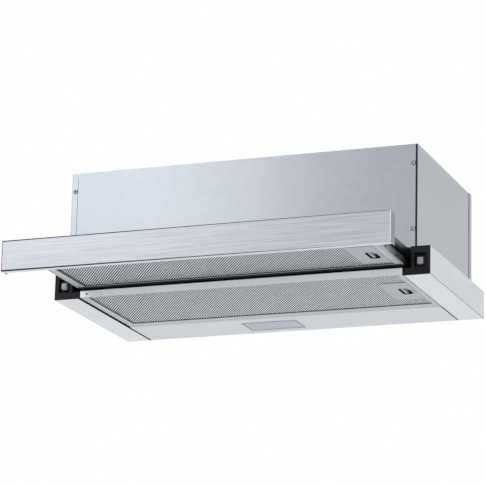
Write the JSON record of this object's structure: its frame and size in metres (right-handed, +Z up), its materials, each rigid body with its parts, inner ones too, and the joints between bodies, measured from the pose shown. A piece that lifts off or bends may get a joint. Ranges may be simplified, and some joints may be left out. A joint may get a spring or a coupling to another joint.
{
  "type": "telescopic cooker hood",
  "caption": "Pull-out cooker hood for a wall cabinet: steel fan box, sliding visor, mesh grease filters, lamp, and a round duct collar with damper flaps.",
  "frame": {"origin": "middle of the seating plane, the top face of the base, where the hood meets the underside of the cabinet", "axes": "+X to the right as seen from the front, +Y to the back (towards the wall), +Z up"},
  "size_m": [0.598, 0.4726, 0.2304],
  "materials": {
    "satin_steel": "satin",
    "brushed_steel": "brushed",
    "painted_grey": "satin",
    "black_plastic": "matt",
    "grey_plastic": "matt",
    "silver_plastic": "satin",
    "latch_plastic": "satin",
    "white_plastic": "satin",
    "white_board": "matt",
    "lamp_glass": "frosted",
    "black_rubber": "matt",
    "black_steel": "black oxide",
    "filter_aluminium": "satin",
    "filter_mesh": "expanded mesh",
    "zinc": "zinc plated",
    "motor_metal": "cast"
  },
  "bodies": {
    "housing": {"front_panel": "satin_steel", "left_side_panel": "satin_steel", "right_side_panel": "satin_steel", "back_panel": "satin_steel", "top_panel": "satin_steel", "outlet_collar": "grey_plastic", "damper_pin": "zinc", "deck_panel": "painted_grey", "left_side_channel": "brushed_steel", "right_side_channel": "brushed_steel", "left_end_block": "black_plastic", "right_end_block": "black_plastic", "light_panel": "painted_grey", "lamp_frame": "silver_plastic", "lamp_lens": "lamp_glass", "lamp_board": "white_board", "rail_brackets": "zinc", "left_outer_rail": "black_steel", "right_outer_rail": "black_steel", "light_switch": "black_plastic", "fan_switch": "black_plastic", "visor_switch": "black_plastic", "fan_housing_left": "grey_plastic", "fan_housing_right": "grey_plastic", "motor": "motor_metal", "motor_bracket": "zinc", "motor_screws": "zinc", "bracket_screws": "zinc", "capacitor": "white_plastic", "terminal_box": "black_plastic", "cord_gland": "black_rubber", "front_screws": "zinc", "back_screws": "zinc", "collar_screws": "zinc"},
    "visor": {"visor_front": "brushed_steel", "visor_tray": "painted_grey", "tray_rivets": "zinc", "left_inner_rail": "black_steel", "right_inner_rail": "black_steel"},
    "left_rail": {"left_middle_rail": "black_steel"},
    "right_rail": {"right_middle_rail": "black_steel"},
    "visor_filter": {"visor_filter_frame": "filter_aluminium", "visor_filter_mesh": "filter_mesh", "visor_latch_plate": "latch_plastic"},
    "visor_latch": {"visor_latch": "silver_plastic"},
    "base_filter": {"base_filter_frame": "filter_aluminium", "base_filter_mesh": "filter_mesh", "base_latch_plate": "latch_plastic"},
    "base_latch": {"base_latch": "silver_plastic"},
    "rotor": {"impeller": "black_plastic", "fan_shaft": "zinc"},
    "front_flap": {"front_flap": "grey_plastic"},
    "rear_flap": {"rear_flap": "grey_plastic"},
    "light_knob": {"light_knob": "silver_plastic"},
    "fan_knob": {"fan_knob": "silver_plastic"}
  },
  "joints": [
    {"name": "visor_slide", "type": "slide", "parent": "housing", "child": "visor", "axis": [0, 1, 0], "range_m": [0, 0.1665]},
    {"name": "left_rail_slide", "type": "slide", "parent": "housing", "child": "left_rail", "axis": [0, 1, 0], "range_m": [0, 0.08325]},
    {"name": "right_rail_slide", "type": "slide", "parent": "housing", "child": "right_rail", "axis": [0, 1, 0], "range_m": [0, 0.08325]},
    {"name": "visor_filter_hinge", "type": "hinge", "parent": "visor", "child": "visor_filter", "pos_m": [-0.2546, -0.204, -0.0256], "axis": [0, 1, 0], "range_deg": [0, 25]},
    {"name": "visor_latch_slide", "type": "slide", "parent": "visor_filter", "child": "visor_latch", "axis": [-1, 0, 0], "range_m": [0, 0.0035], "stiffness_N_per_m": 150, "springref_m": -0.004},
    {"name": "base_filter_hinge", "type": "hinge", "parent": "housing", "child": "base_filter", "pos_m": [-0.2546, -0.0465, -0.0398], "axis": [0, 1, 0], "range_deg": [0, 50]},
    {"name": "base_latch_slide", "type": "slide", "parent": "base_filter", "child": "base_latch", "axis": [-1, 0, 0], "range_m": [0, 0.0035], "stiffness_N_per_m": 150, "springref_m": -0.004},
    {"name": "fan_spin", "type": "hinge", "parent": "housing", "child": "rotor", "pos_m": [0, -0.026, 0.0795], "axis": [1, 0, 0], "continuous": true},
    {"name": "front_flap_hinge", "type": "hinge", "parent": "housing", "child": "front_flap", "pos_m": [0, 0.028, 0.167], "axis": [-1, 0, 0], "range_deg": [0, 75]},
    {"name": "rear_flap_hinge", "type": "hinge", "parent": "housing", "child": "rear_flap", "pos_m": [0, 0.028, 0.167], "axis": [1, 0, 0], "range_deg": [0, 75]},
    {"name": "light_knob_slide", "type": "slide", "parent": "housing", "child": "light_knob", "axis": [0, 0, 1], "range_m": [-0.003, 0.004]},
    {"name": "fan_knob_slide", "type": "slide", "parent": "housing", "child": "fan_knob", "axis": [0, 0, 1], "range_m": [-0.003, 0.004]}
  ],
  "couplings": [
    {"joint": "left_rail_slide", "follows": "visor_slide", "ratio": 0.5},
    {"joint": "right_rail_slide", "follows": "visor_slide", "ratio": 0.5}
  ]
}
